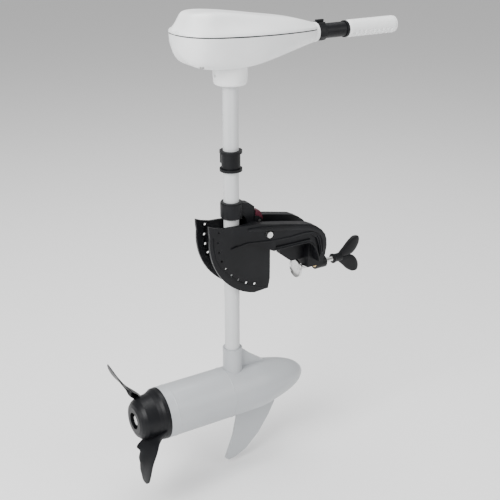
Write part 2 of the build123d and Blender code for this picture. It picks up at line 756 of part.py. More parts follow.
def extension_tube():
    body = cylinder_x(extension_r, extension_inner_end, grip_start, 0, tiller_z)
    body += cylinder_x(extension_r + 1.7, grip_start - 5.0, grip_start - side_gap, 0, tiller_z)
    body -= cylinder_x(extension_bore, extension_inner_end - 1, grip_start + 1, 0, tiller_z)
    return body & cylinder_x(40.0, extension_inner_end, grip_start - side_gap, 0, tiller_z)


def extension_lock():
    start = nozzle_face + side_gap
    body = cylinder_x(extension_r + 3.3, start, start + 16.0, 0, tiller_z)
    body += block(start + 2.0, start + 14.0, -4.0, 4.0, tiller_z, tiller_z + extension_r + 6.5)
    return body - cylinder_x(extension_r + running_gap, start - 1, start + 17.0, 0, tiller_z)


def grip_core():
    """The tube that carries the grip inside the extension."""
    core = cylinder_x(extension_bore - running_gap, extension_inner_end + 10.0, grip_end - 14.0, 0, tiller_z)
    return core - cylinder_x(1.5 * bar_half + 0.1, extension_inner_end + 9.0, grip_end - 20.0, 0, tiller_z)


def grip():
    body = cylinder_x(grip_r, grip_start, grip_end - 4.0, 0, tiller_z)
    for number in range(9):
        x = grip_start + 14.0 + number * 10.0
        body -= block(x, x + 3.6, -20.0, 20.0, tiller_z - grip_r - 4.2, tiller_z - grip_r + 1.6)
    return body - cylinder_x(extension_bore - running_gap, grip_start - 1, grip_end - 14.0, 0, tiller_z)


def grip_cap():
    return cylinder_x(grip_r - 0.8, grip_end - 4.0, grip_end, 0, tiller_z)


nodes = {
    "column_tube": column_tube(), "column_harness": column_harness(), "harness_grommets": harness_grommets(),
    "depth_collar": depth_collar(), "depth_screw": depth_screw(),
    "nose_cone": nose_cone(), "motor_tube": motor_tube(), "end_bell": end_bell(), "through_bolts": through_bolts(),
    "bearings": bearings(), "shaft_seal": shaft_seal(), "magnets": magnets(), "armature": armature(),
    "commutator": commutator(), "brushes": brushes(), "brush_plate": brush_plate(), "motor_shaft": motor_shaft(),
    "drive_pin": drive_pin(), "propeller": propeller(), "prop_washer": prop_washer(), "prop_nut": prop_nut(),
    "side_plate_left": side_plate(-1), "side_plate_right": side_plate(1), "clamp_frame": clamp_frame(),
    "frame_screws": frame_screws(), "pivot_bolt": pivot_bolt(), "pivot_nut": pivot_nut(),
    "swivel": swivel(), "steering_sleeve": steering_sleeve(), "tension_knob": tension_knob(),
    "tension_stud": tension_stud(), "lock_pin": lock_pin(),
    "release_lever": release_lever(), "lever_pin": lever_pin(),
    "thread_insert": thread_insert(), "clamp_screw": clamp_screw(), "clamp_pad": clamp_pad(),
    "clamp_knob": clamp_knob(),
    "head_cover": head_cover(), "head_housing": head_housing(), "head_gasket": head_gasket(),
    "cover_screws": cover_screws(), "neck": neck(), "neck_screw": neck_screw(), "cable_gland": cable_gland(),
    "switch_body": switch_body(), "switch_rotor": switch_rotor(), "drive_bar": drive_bar(),
    "nozzle_ring": nozzle_ring(), "extension_tube": extension_tube(), "extension_lock": extension_lock(),
    "grip_core": grip_core(), "grip": grip(), "grip_cap": grip_cap(),
}
os.makedirs("parts", exist_ok=True)
for name, shape in nodes.items():
    export_step(shape, "parts/" + name + ".step")
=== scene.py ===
# %% [markdown]
# # A trolling motor, piece by piece
# The engineering model gives every part its exact size and place. Here it is loaded as a
# fixed frame, then given its finishes, and the parts whose real shape is softer or finer
# than an engineering solid are modelled again over it, in the same metres.

# %% Load the frame
import bpy
import bmesh
import json
from math import pi, radians
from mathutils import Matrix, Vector


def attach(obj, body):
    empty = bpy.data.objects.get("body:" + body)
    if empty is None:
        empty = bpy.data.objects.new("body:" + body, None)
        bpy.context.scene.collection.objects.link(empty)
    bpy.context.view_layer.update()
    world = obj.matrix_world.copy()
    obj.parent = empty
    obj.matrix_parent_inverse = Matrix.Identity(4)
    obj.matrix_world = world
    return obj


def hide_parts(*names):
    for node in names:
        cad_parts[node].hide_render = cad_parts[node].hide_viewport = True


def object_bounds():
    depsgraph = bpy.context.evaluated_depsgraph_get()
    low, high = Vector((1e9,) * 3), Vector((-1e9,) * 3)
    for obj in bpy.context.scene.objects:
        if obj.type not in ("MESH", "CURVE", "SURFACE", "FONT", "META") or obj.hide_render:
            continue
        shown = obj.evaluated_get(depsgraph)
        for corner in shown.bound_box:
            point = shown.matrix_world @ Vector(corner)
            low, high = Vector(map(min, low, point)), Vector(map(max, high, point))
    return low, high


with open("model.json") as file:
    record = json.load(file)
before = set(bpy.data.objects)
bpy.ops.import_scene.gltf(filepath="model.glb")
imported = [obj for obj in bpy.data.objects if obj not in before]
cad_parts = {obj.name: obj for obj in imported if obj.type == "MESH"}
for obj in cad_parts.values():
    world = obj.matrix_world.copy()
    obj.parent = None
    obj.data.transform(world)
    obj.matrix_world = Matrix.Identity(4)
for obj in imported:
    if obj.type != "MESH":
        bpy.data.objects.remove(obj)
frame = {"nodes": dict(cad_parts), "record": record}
nodes = frame["nodes"]


def plain_box():
    """The whole object's lowest and highest corners, as lists of numbers."""
    return [[float(n) for n in corner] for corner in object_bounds()]


cad_box = plain_box()
print(len(nodes), "parts, from", cad_box[0], "to", cad_box[1])

# %% [markdown]
# ## The camera
# A long lens from above and behind the column keeps upright edges upright. It looks down a
# little, with the tiller running away to the right. The camera is placed first, so that
# each piece can be judged as soon as it is made.

# %% Camera
bpy.ops.object.camera_add(location=(-0.9030, -1.3618, 0.6566),
                          rotation=(radians(67.536), 0, radians(-31.765)))
camera = bpy.context.object
camera.data.lens = 66.17
camera.data.sensor_width = 36
bpy.context.scene.camera = camera
print("camera looks down", round(90 - 67.536, 1), "degrees")

# %% [markdown]
# ## Floor and light
# A pale floor that rises into nothing keeps attention on the part. The light is a wide soft
# panel on the left, a weaker one on the right to open the shadows, and one from above for
# the line of light along the pod. Large panels give long smooth highlights on curved paint.

# %% Floor and light
low_z = cad_box[0][2]
bpy.ops.mesh.primitive_plane_add(size=60, location=(0, 0, low_z - 0.012))
floor = bpy.context.object
floor.name = "floor"


def panel(name, place, towards, size, watts):
    """A square soft light at a place, turned towards a point."""
    bpy.ops.object.light_add(type="AREA", location=place)
    lamp = bpy.context.object
    lamp.name = name
    lamp.rotation_euler = (Vector(towards) - Vector(place)).to_track_quat("-Z", "Y").to_euler()
    lamp.data.shape = "SQUARE"
    lamp.data.size = size
    lamp.data.energy = watts
    return lamp


middle = (-0.05, 0, 0)
panel("left_panel", (-2.2, -0.9, 1.5), middle, 1.6, 110)
panel("right_panel", (1.2, -1.8, 0.9), middle, 1.4, 16)
panel("top_panel", (0.1, 0.3, 2.3), middle, 1.8, 60)
world = bpy.data.worlds.new("studio")
bpy.context.scene.world = world
world.use_nodes = True
world.node_tree.nodes["Background"].inputs["Color"].default_value = (1, 1, 1, 1)
world.node_tree.nodes["Background"].inputs["Strength"].default_value = 0.55
print("three panels and a white room")

# %% [markdown]
# ## Writing shaders as sums
# A finish is a small graph of nodes. Written one node at a time it hides its own idea, so
# one class wraps an output socket: adding or multiplying two of them adds the Math node
# that does it. Any other node comes from one method, which takes its settings and inputs.

# %% A socket that can be added and multiplied
class Flow:
    def __init__(self, tree, socket):
        self.tree = tree
        self.socket = socket

    def math(self, operation, first, second):
        return Finish.add(self.tree, "ShaderNodeMath", {"operation": operation}, {0: first, 1: second})

    def __add__(self, other):
        return self.math("ADD", self, other)

    def __sub__(self, other):
        return self.math("SUBTRACT", self, other)

    def __rsub__(self, other):
        return self.math("SUBTRACT", other, self)

    def __mul__(self, other):
        return self.math("MULTIPLY", self, other)

    def over(self, low, high):
        """0 below low, 1 above high, and smooth between them."""
        settings = {"interpolation_type": "SMOOTHSTEP"}
        return Finish.add(self.tree, "ShaderNodeMapRange", settings, {0: self, 1: low, 2: high})

    __radd__ = __add__
    __rmul__ = __mul__


class Finish:
    """A material under construction, with its surface shader ready."""

    def __init__(self, name, color, rough, metal=0.0, coat=0.0, specular=0.5):
        self.material = bpy.data.materials.new(name)
        self.material.use_nodes = True
        self.tree = self.material.node_tree
        self.shader = self.tree.nodes["Principled BSDF"]
        self.set("Base Color", (*color, 1))
        self.set("Roughness", rough)
        self.set("Metallic", metal)
        self.set("Coat Weight", coat)
        self.set("Coat Roughness", 0.12)
        self.set("Specular IOR Level", specular)
        self.place = self.node("ShaderNodeTexCoord", {}, {}, "Object")

    @staticmethod
    def add(tree, kind, settings, inputs, output=0):
        node = tree.nodes.new(kind)
        for key, value in settings.items():
            setattr(node, key, value)
        for key, value in inputs.items():
            if isinstance(value, Flow):
                tree.links.new(value.socket, node.inputs[key])
            else:
                node.inputs[key].default_value = value
        return Flow(tree, node.outputs[output])

    def node(self, kind, settings, inputs, output=0):
        return Finish.add(self.tree, kind, settings, inputs, output)

    def set(self, name, value):
        if isinstance(value, Flow):
            self.tree.links.new(value.socket, self.shader.inputs[name])
        else:
            self.shader.inputs[name].default_value = value

    def noise(self, scale, detail=3.0, stretch=(1, 1, 1), rough=0.55):
        """Cloudy values from 0 to 1, with features about 1/scale metres long."""
        where = self.node("ShaderNodeMapping", {}, {"Vector": self.place, "Scale": stretch})
        settings = {"noise_dimensions": "3D"}
        return self.node("ShaderNodeTexNoise", settings,
                         {"Vector": where, "Scale": scale, "Detail": detail, "Roughness": rough})

    def cells(self, scale):
        """Distance from the middle of packed cells, for a spark-eroded mould's grain."""
        return self.node("ShaderNodeTexVoronoi", {"feature": "F1"}, {"Vector": self.place, "Scale": scale})

    def blend(self, mask, first, second):
        """One colour turning into another where the mask is high."""
        return self.node("ShaderNodeMix", {"data_type": "RGBA"},
                         {0: mask, 6: (*first, 1), 7: (*second, 1)}, 2)

    def relief(self, height, depth, strength=0.6):
        self.set("Normal", self.node("ShaderNodeBump", {},
                                     {"Height": height, "Distance": depth, "Strength": strength}))


print("Flow and Finish are ready")

# %% [markdown]
# ## Moulded plastics
# A moulded skin copies its steel mould: a very fine grain, slightly uneven gloss, and where
# hands or rope rub it, smoother patches. Three noises do that: grain in the relief, gloss
# in the roughness, and broad faint cloudiness in the colour.

# %% Moulded plastics
def moulded(name, color, shade, rough, grain_scale, grain_depth, coat=0.0, specular=0.5):
    """A plastic whose colour drifts towards shade, with grain and rubbed patches."""
    f = Finish(name, color, rough, coat=coat, specular=specular)
    cloud = f.noise(14, 4)
    rubbed = f.noise(55, 6, rough=0.7).over(0.52, 0.68)
    fleck = f.noise(900, 2).over(0.62, 0.74)
    f.set("Base Color", f.blend(cloud.over(0.35, 0.7) * 0.55 + fleck * 0.25, color, shade))
    f.set("Roughness", rough - rubbed * 0.08 + f.noise(260, 2) * 0.1)
    f.relief(f.noise(grain_scale, 2) + f.cells(grain_scale * 0.8) * 0.5, grain_depth, 0.35)
    return f.material


finishes = {
    "white_shell": moulded("white_shell", (0.84, 0.85, 0.85), (0.75, 0.765, 0.77), 0.36,
                           1400, 0.00012, coat=0.15),
    "black_plastic": moulded("black_plastic", (0.003, 0.0032, 0.004), (0.0075, 0.008, 0.010), 0.36,
                             1100, 0.00022, specular=0.2),
    "red_plastic": moulded("red_plastic", (0.075, 0.004, 0.016), (0.04, 0.003, 0.009), 0.38,
                           1200, 0.0002, specular=0.35),
    "rubber": moulded("rubber", (0.012, 0.012, 0.0125), (0.02, 0.02, 0.021), 0.72,
                      700, 0.0004, specular=0.3),
    "acetal": moulded("acetal", (0.010, 0.010, 0.011), (0.02, 0.02, 0.021), 0.42,
                      900, 0.0002, specular=0.3),
    "graphite": moulded("graphite", (0.035, 0.035, 0.038), (0.06, 0.06, 0.062), 0.55, 800, 0.0003),
}
print(sorted(finishes))

# %% [markdown]
# ## Painted aluminium and the column
# Sprayed paint on a casting is never quite flat: it dries with a soft orange-peel ripple a
# few millimetres across. The column is a pulled glass-fibre tube, so its fine lines all run
# along it, which a noise squeezed in two directions gives.

# %% Paint and column
def painted(name, color, shade, rough):
    """Sprayed paint with orange peel, faint dust and a clear top coat."""
    f = Finish(name, color, rough, coat=0.2)
    cloud = f.noise(9, 5).over(0.3, 0.75)
    dust = f.noise(1200, 2).over(0.66, 0.76)
    f.set("Base Color", f.blend(cloud * 0.5 + dust * 0.3, color, shade))
    f.set("Roughness", rough + f.noise(70, 4) * 0.12 - 0.05)
    f.relief(f.noise(320, 2) + f.noise(1500, 1) * 0.3, 0.00025, 0.3)
    return f.material


def pulled_tube(name, color, shade):
    """A glass-fibre tube: fibres along Z, slightly streaky, satin."""
    f = Finish(name, color, 0.4)
    fibre = f.noise(900, 4, (1, 1, 0.012))
    streak = f.noise(120, 3, (1, 1, 0.03)).over(0.35, 0.7)
    f.set("Base Color", f.blend(streak * 0.6 + f.noise(20, 3) * 0.3, color, shade))
    f.set("Roughness", 0.34 + fibre * 0.16)
    f.relief(fibre, 0.0002, 0.35)
    return f.material


finishes["grey_paint"] = painted("grey_paint", (0.40, 0.415, 0.43), (0.34, 0.355, 0.375), 0.38)
finishes["column_grey"] = pulled_tube("column_grey", (0.56, 0.57, 0.575), (0.48, 0.49, 0.50))
print(len(finishes), "finishes so far")

# %% [markdown]
# ## Metals
# Turned and drawn metal shows its tool marks as fine lines, and its gloss is uneven where
# it has been handled. A metal's colour is its reflection, so the marks go in roughness and
# relief and only slightly in colour.

# %% Metals
def worked_metal(name, color, shade, rough, stretch):
    """Metal with fine tool marks drawn out along one direction."""
    f = Finish(name, color, rough, metal=1.0)
    marks = f.noise(1600, 3, stretch)
    tarnish = f.noise(90, 5, rough=0.65).over(0.45, 0.75)
    f.set("Base Color", f.blend(tarnish * 0.7, color, shade))
    f.set("Roughness", rough + marks * 0.14 + tarnish * 0.08 - 0.07)
    f.relief(marks, 0.00008, 0.3)
    return f.material


finishes["steel"] = worked_metal("steel", (0.66, 0.66, 0.65), (0.50, 0.50, 0.50), 0.27, (0.08, 1, 1))
finishes["brass"] = worked_metal("brass", (0.72, 0.53, 0.25), (0.52, 0.37, 0.18), 0.3, (0.08, 1, 1))
finishes["copper"] = worked_metal("copper", (0.72, 0.36, 0.22), (0.46, 0.22, 0.14), 0.35, (1, 0.1, 1))
finishes["magnet"] = worked_metal("magnet", (0.15, 0.15, 0.16), (0.09, 0.09, 0.1), 0.5, (1, 1, 0.3))

# %% Finishes onto the frame
slot_of = {p["node"]: p["material_slot"] for p in frame["record"]["subparts"]}
for name, node in nodes.items():
    node.data.materials.clear()
    node.data.materials.append(finishes[slot_of[name]])
print({slot: list(slot_of.values()).count(slot) for slot in finishes})

stage_paint = Finish("floor_paint", (0.93, 0.93, 0.93), 0.9)
stage_paint.set("Roughness", stage_paint.noise(3, 2) * 0.1 + 0.82)
floor.data.materials.append(stage_paint.material)

# %% [markdown]
# ## Tools for modelling by hand
# Each new piece starts as a primitive at its real size, is cut and pulled into shape in edit
# mode, and ends with modifiers that are applied. Operators act on whatever is selected, so
# one helper clears the selection first and another selects by place or by direction.

# %% Modelling helpers
def begin(name, add, **sizes):
    """Adds a primitive with nothing else selected, fixes its place in its mesh, opens it."""
    if bpy.context.object and bpy.context.object.mode == "EDIT":
        bpy.ops.object.mode_set(mode="OBJECT")
    bpy.ops.object.select_all(action="DESELECT")
    add(**sizes)
    piece = bpy.context.object
    piece.name = name
    bpy.ops.object.transform_apply(location=True, rotation=True, scale=True)
    bpy.ops.object.mode_set(mode="EDIT")
    bpy.ops.mesh.select_mode(type="VERT")
    bpy.ops.mesh.select_all(action="SELECT")
    return piece


def pick(test, what="VERT"):
    """Selects only the vertices, or the faces, whose place and direction pass a test."""
    bpy.ops.mesh.select_mode(type=what)
    bpy.ops.mesh.select_all(action="DESELECT")
    mesh = bmesh.from_edit_mesh(bpy.context.object.data)
    for part in mesh.verts if what == "VERT" else mesh.faces:
        place = part.co if what == "VERT" else part.calc_center_median()
        if test(place, part.normal):
            part.select_set(True)
    mesh.select_flush_mode()


def slice_at(place, direction, keep=None):
    """Cuts the whole piece with a plane, and can throw away one side."""
    bpy.ops.mesh.select_all(action="SELECT")
    bpy.ops.mesh.bisect(plane_co=place, plane_no=direction,
                        clear_inner=keep == "front", clear_outer=keep == "back")


def modify(piece, kind, **settings):
    """Adds a modifier, sets it and applies it."""
    if piece.mode == "EDIT":
        bpy.ops.object.mode_set(mode="OBJECT")
    bpy.ops.object.select_all(action="DESELECT")
    piece.select_set(True)
    bpy.context.view_layer.objects.active = piece
    change = piece.modifiers.new(kind.lower(), kind)
    for key, value in settings.items():
        setattr(change, key, value)
    bpy.ops.object.modifier_apply(modifier=change.name)


def close(piece, body, slot, stands_for=(), angle=35, edge=0.0, steps=2):
    """Softens the piece's edges, gives it its body and its finish, and hides the nodes it stands for."""
    if edge:
        modify(piece, "BEVEL", width=edge, segments=steps, limit_method="ANGLE", angle_limit=radians(40))
    if piece.mode == "EDIT":
        bpy.ops.object.mode_set(mode="OBJECT")
    bpy.ops.object.select_all(action="DESELECT")
    piece.select_set(True)
    bpy.context.view_layer.objects.active = piece
    bpy.ops.object.shade_smooth_by_angle(angle=radians(angle))
    piece.data.materials.clear()
    piece.data.materials.append(finishes[slot])
    if stands_for:
        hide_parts(*stands_for)
    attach(piece, body)
    print(piece.name, len(piece.data.polygons), "faces")
    return piece


def copy_of(piece, name):
    """A second object with a mesh of its own."""
    if piece.mode == "EDIT":
        bpy.ops.object.mode_set(mode="OBJECT")
    twin = piece.copy()
    twin.data = piece.data.copy()
    twin.name = name
    bpy.context.scene.collection.objects.link(twin)
    return twin


column = -0.1        # where the column's axis stands along X
tiller = 0.3883      # how high the tiller's axis runs


def bar_x(name, radius, start, stop, sides=48, height=tiller, cap="NGON"):
    """A round bar along X, opened for editing."""
    return begin(name, bpy.ops.mesh.primitive_cylinder_add, vertices=sides, radius=radius,
                 end_fill_type=cap, depth=stop - start,
                 location=((start + stop) / 2, 0, height), rotation=(0, pi / 2, 0))


print("column at", column, "and tiller at", tiller)

# %% [markdown]
# ## The head
# The head is two thin moulded shells that meet at a sloping seam. Both come from one cage,
# so that they match along it: a block with cuts across and along it, each ring of its
# corners set to the head's width and height there. The lid rises steeply at the rear and
# then falls towards the tiller. Subdivision rounds the cage into a moulded skin.

# %% The head's cage
# One ring a line: its place along X from the column, then the heights of its underside,
# shoulder and top above the end of the column, then its half widths from underside to top.
head_rings = (
    (-0.107, 0.022, 0.0415, 0.044, (0.006, 0.009, 0.012, 0.013, 0.012, 0.009, 0.007)),
    (-0.1045, 0.012, 0.043, 0.0455, (0.012, 0.018, 0.0225, 0.023, 0.022, 0.017, 0.012)),
    (-0.1, 0.004, 0.045, 0.0485, (0.017, 0.025, 0.0315, 0.0325, 0.0315, 0.025, 0.018)),
    (-0.094, -0.003, 0.0475, 0.055, (0.021, 0.031, 0.039, 0.0405, 0.039, 0.031, 0.019)),
    (-0.089, -0.008, 0.05, 0.066, (0.024, 0.036, 0.044, 0.0455, 0.044, 0.034, 0.016)),
    (-0.084, -0.011, 0.053, 0.0725, (0.027, 0.0395, 0.048, 0.05, 0.0485, 0.038, 0.022)),
    (-0.076, -0.015, 0.055, 0.074, (0.031, 0.044, 0.0525, 0.0545, 0.053, 0.043, 0.029)),
    (-0.064, -0.018, 0.056, 0.0745, (0.034, 0.048, 0.056, 0.058, 0.0565, 0.0465, 0.034)),
    (-0.05, -0.02, 0.055, 0.0745, (0.0365, 0.051, 0.058, 0.06, 0.0585, 0.045, 0.034)),
    (-0.03, -0.0215, 0.053, 0.073, (0.0375, 0.052, 0.059, 0.061, 0.0595, 0.043, 0.031)),
    (0, -0.022, 0.051, 0.0695, (0.037, 0.052, 0.059, 0.061, 0.0595, 0.042, 0.029)),
    (0.03, -0.021, 0.0495, 0.065, (0.035, 0.05, 0.0565, 0.0585, 0.057, 0.042, 0.028)),
    (0.06, -0.016, 0.0475, 0.0605, (0.032, 0.046, 0.0525, 0.0545, 0.053, 0.041, 0.027)),
    (0.1, -0.008, 0.0435, 0.055, (0.027, 0.038, 0.0435, 0.045, 0.0435, 0.0355, 0.023)),
    (0.13, -0.002, 0.039, 0.0495, (0.022, 0.031, 0.035, 0.036, 0.035, 0.0295, 0.019)),
    (0.158, 0.0025, 0.0345, 0.0415, (0.014, 0.022, 0.025, 0.0255, 0.0245, 0.021, 0.012)),
    (0.171, 0.003, 0.032, 0.038, (0.009, 0.016, 0.0185, 0.019, 0.0185, 0.015, 0.0085)),
)
top_of_column = 0.368
rear_x = column + head_rings[0][0]
front_x = column + head_rings[-1][0]
cage = begin("head_cage", bpy.ops.mesh.primitive_cube_add, size=1,
             location=((rear_x + front_x) / 2, 0, 13), scale=(front_x - rear_x, 2, 6))
for ring in head_rings[1:-1]:
    slice_at((column + ring[0], 0, 0), (1, 0, 0))
for level in range(11, 16):
    slice_at((0, 0, level), (0, 0, 1))
for y in (-.55, 0, .55):
    slice_at((0, y, 0), (0, 1, 0))
seam_slope, seam_rear, seam_height = 0.045, 0.130, 0.0398
for step, low, shoulder, top, halves in head_rings:
    x = column + step
    seam = seam_height - seam_slope * (step + seam_rear)
    heights = (low, low + .010, low + .55 * (seam - low), seam, seam + .006, shoulder, top)
    for level, (height, half) in enumerate(zip(heights, halves)):
        pick(lambda p, n: abs(p.x - x) < 1e-4 and abs(p.z - 10 - level) < 1e-3)
        bpy.ops.transform.resize(value=(1, half, 1), center_override=(x, 0, 10 + level))
        bpy.ops.transform.translate(value=(0, 0, top_of_column + height - 10 - level))
bpy.ops.mesh.select_all(action="SELECT")
bpy.ops.mesh.normals_make_consistent(inside=False)
modify(cage, "SUBSURF", levels=3, render_levels=3)
seam_place = Vector((-0.23, 0, 0.4078))
seam_lean = Vector((seam_slope, 0, 1)).normalized()
print("cage has", len(cage.data.polygons), "faces")

# %% Lid and housing, cut from the cage along the seam
def above_the_seam(p):
    """How far a point stands above the seam's plane."""
    return (p - seam_place).dot(seam_lean)


lid = copy_of(cage, "head_lid")
shell = cage
shell.name = "head_shell"
for piece, keep, lift in ((lid, "front", 0.002), (shell, "back", 0.0)):
    bpy.ops.object.select_all(action="DESELECT")
    piece.select_set(True)
    bpy.context.view_layer.objects.active = piece
    bpy.ops.object.mode_set(mode="EDIT")
    slice_at(seam_place + seam_lean * lift, seam_lean, keep)
    lip_height = 0.0045 if keep == "front" else -0.0028
    band = lift + lip_height
    slice_at(seam_place + seam_lean * band, seam_lean)
    if keep == "front":
        pick(lambda p, n: above_the_seam(p) < band and p.x < 0.06, "FACE")
        bpy.ops.mesh.extrude_region_shrink_fatten(TRANSFORM_OT_shrink_fatten={"value": 0.0007})
    pick(lambda p, n: p.x > front_x - 0.0006 and n.x > 0.6, "FACE")
    bpy.ops.mesh.delete(type="FACE")
    modify(piece, "SOLIDIFY", thickness=0.0026, offset=-1)
close(lid, "column", "white_shell", ["head_cover"], 40)
close(shell, "column", "white_shell", ["head_housing"], 40)

# %% [markdown]
# ## The neck
# Under the head a smooth cup takes the column. Its lower rim is rounded, and a screw sits
# in a round recess at its back. The recess is cut with a bar, which is then removed.

# %% Neck cup
neck_r, neck_depth = 0.0305, 0.036
recess_z = top_of_column - 0.037
neck = begin("neck_cup", bpy.ops.mesh.primitive_cylinder_add, vertices=72, radius=neck_r,
             depth=neck_depth, location=(column, 0, top_of_column - 0.036))
slice_at((column, 0, top_of_column - 0.040), (0, 0, 1))
pick(lambda p, n: p.z < top_of_column - 0.053)
bpy.ops.transform.resize(value=(0.955, 0.955, 1), center_override=(column, 0, 0))
pick(lambda p, n: n.z < -0.9, "FACE")
bpy.ops.mesh.inset(thickness=0.0124)
bpy.ops.mesh.extrude_region_move(TRANSFORM_OT_translate={"value": (0, 0, 0.030)})
modify(neck, "BEVEL", width=0.0045, segments=5, limit_method="ANGLE", angle_limit=radians(50))
drill = bar_x("drill", 0.0032, column - 0.040, column - 0.0268, 32, recess_z)
bpy.ops.object.mode_set(mode="OBJECT")
modify(neck, "BOOLEAN", object=drill, operation="DIFFERENCE", solver="EXACT")
bpy.data.objects.remove(drill)
close(neck, "column", "white_shell", ["neck"], 30)
screw = bar_x("neck_fixing", 0.0030, column - 0.0272, column - 0.0143, 28, recess_z)
pick(lambda p, n: n.x < -0.9, "FACE")
bpy.ops.mesh.inset(thickness=0.0012)
bpy.ops.mesh.extrude_region_move(TRANSFORM_OT_translate={"value": (0.0009, 0, 0)})
close(screw, "column", "steel", ["neck_screw"], 30)

# %% [markdown]
# ## Ribs of the bracket
# The two side plates are castings stiffened by raised lines: a broad flange along the top of
# the arm, a rib that follows it down into the hook, a rim round the jaw, and a second curve
# inside the quadrant's edge. Each is a strip of squares bent along its line and pulled out.
# The arm widens towards the hook, so every station starts from the arm's own skin.

# %% Ribs
def skin(x):
    """How far from the middle the side plate's outer face stands at x."""
    return min(0.040, 0.027 + max(0, x + 0.112) / 6)


sunk = 0.0006        # how far a rib's back goes into the plate


def rib(name, line, width, side, proud, ends=1.0):
    """A raised strip along a line of (x, z) points in millimetres, on one side plate."""
    points = [Vector((x / 1000, z / 1000)) for x, z in line]
    last = len(points) - 1
    piece = begin(name, bpy.ops.mesh.primitive_grid_add, x_subdivisions=last, y_subdivisions=1,
                  size=1, location=(0, 0, 10))
    for number, point in enumerate(points):
        along = (points[min(number + 1, last)] - points[max(number - 1, 0)]).normalized()
        half = width / 2 * (ends if number in (0, last) else 1)
        for edge in (-1, 1):
            target = point + Vector((-along.y, along.x)) * half * edge
            start = Vector((number / last - 0.5, edge / 2, 10))
            pick(lambda p, n: (p - start).length < 1e-3)
            goal = Vector((target.x, side * (skin(target.x) - sunk), target.y))
            bpy.ops.transform.translate(value=goal - start)
    bpy.ops.mesh.select_all(action="SELECT")
    rise = (0, side * (proud + sunk), 0)
    bpy.ops.mesh.extrude_region_move(TRANSFORM_OT_translate={"value": rise})
    bpy.ops.mesh.select_all(action="SELECT")
    bpy.ops.mesh.normals_make_consistent(inside=False)
    return close(piece, "bracket", "black_plastic", (), 40, min(proud, width / 2) * 0.55, 2)


flange = [(-84, 50), (-59, 48), (-33, 45.5), (-6, 41.5), (21, 36.5), (46, 31), (59, 26), (69, 20),
          (77, 12), (82, 2), (83, -10), (82, -26)]
long_rib = [(-117, 17), (-85, 24), (-41, 22), (4, 20.5), (36, 22.5), (56, 20.5), (66, 14), (72, 4),
            (76, -12), (78, -30)]
jaw_rim = [(-30, 4), (-19, 2), (22, 2.3), (48, 1), (56, -4), (63, -13), (69, -26), (74, -43)]
quadrant = [(-153, 46), (-152, 25), (-148, 4), (-138, -16), (-122, -34), (-102, -51), (-80, -62),
            (-56, -69), (-44, -72)]
for side, word in ((-1, "left"), (1, "right")):
    rib("arm_flange_" + word, flange, 0.009, side, 0.0018, 0.5)
    rib("arm_rib_" + word, long_rib, 0.0026, side, 0.0020)
    rib("jaw_rim_" + word, jaw_rim, 0.0022, side, 0.0016)
    rib("quadrant_rib_" + word, quadrant, 0.0018, side, 0.0012)

# %% [markdown]
# ## Joint lines of the motor pod
# The pod is three castings pushed together over one sleeve. Where two of them meet, one has
# a narrow rolled lip that stands a hair proud.

# %% Lips on the pod
pod_z, pod_r = -0.2966, 0.050


def lip(name, x, width, proud):
    """A thin rounded band round the pod, at its place along X."""
    band = bar_x(name, pod_r + proud, x - width / 2, x + width / 2, 128, pod_z, "NOTHING")
    slice_at((x, 0, pod_z), (1, 0, 0))
    pick(lambda p, n: abs(p.x - x) > width / 4)
    shrink = (pod_r - 0.0005) / (pod_r + proud)
    bpy.ops.transform.resize(value=(1, shrink, shrink), center_override=(x, 0, pod_z))
    modify(band, "SUBSURF", levels=2, render_levels=2)
    modify(band, "SOLIDIFY", thickness=0.0008, offset=-1)
    return close(band, "column", "grey_paint", (), 60)


lip("rear_lip", -0.2428, 0.003, 0.0011)
lip("rear_step", -0.2335, 0.0018, 0.0006)
lip("front_lip", -0.1207, 0.0034, 0.0013)

# %% [markdown]
# ## The twist grip
# The grip is a white moulding, a little narrower where it starts, with finger grooves cut
# across its underside. Rings are cut into a cylinder where each groove starts and stops,
# and the lower part of the rings inside a groove is pushed in.

# %% Grip and end cap
grip_start, grip_end = column + 0.246, column + 0.354
grip = bar_x("grip_sleeve", 0.0158, grip_start, grip_end, 64)
grooves = [grip_start + 0.013 + 0.0105 * n for n in range(9)]
for x in grooves:
    for side in (-0.0030, -0.0022, 0.0022, 0.0030):
        slice_at((x + side, 0, tiller), (1, 0, 0))
for x in grooves:
    pick(lambda p, n: abs(p.x - x) < 0.0024 and p.z < tiller - 0.004)
    bpy.ops.transform.resize(value=(1, 0.9, 0.87), center_override=(x, 0, tiller))
for x in (grip_start + 0.007, grip_end - 0.005):
    slice_at((x, 0, tiller), (1, 0, 0))
pick(lambda p, n: p.x < grip_start + 0.0005)
bpy.ops.transform.resize(value=(1, 0.95, 0.95), center_override=(grip_start, 0, tiller))
close(grip, "twist_grip", "white_shell", ["grip"], 40, 0.0005)
cap = bar_x("grip_end_cap", 0.0150, grip_end - 0.0005, column + 0.358, 48)
pick(lambda p, n: n.x > 0.9, "FACE")
bpy.ops.mesh.inset(thickness=0.002)
bpy.ops.transform.translate(value=(-0.0006, 0, 0))
close(cap, "twist_grip", "white_shell", ["grip_cap"], 40, 0.0009, 3)

# %% [markdown]
# ## The telescopic tiller
# Between head and grip runs a black tube, held by a locking collar with a raised thumb lug
# and shallow ribs, so that wet fingers can turn it. A white bearing ring closes the head's
# opening round it.

# %% Locking collar and nozzle ring
nozzle = column + 0.178
collar = bar_x("tiller_lock", 0.0162, nozzle + 0.0003, nozzle + 0.0163, 48)
pick(lambda p, n: abs(n.x) > 0.9, "FACE")
bpy.ops.mesh.inset(thickness=0.0026, use_individual=True)
bpy.ops.mesh.delete(type="FACE")


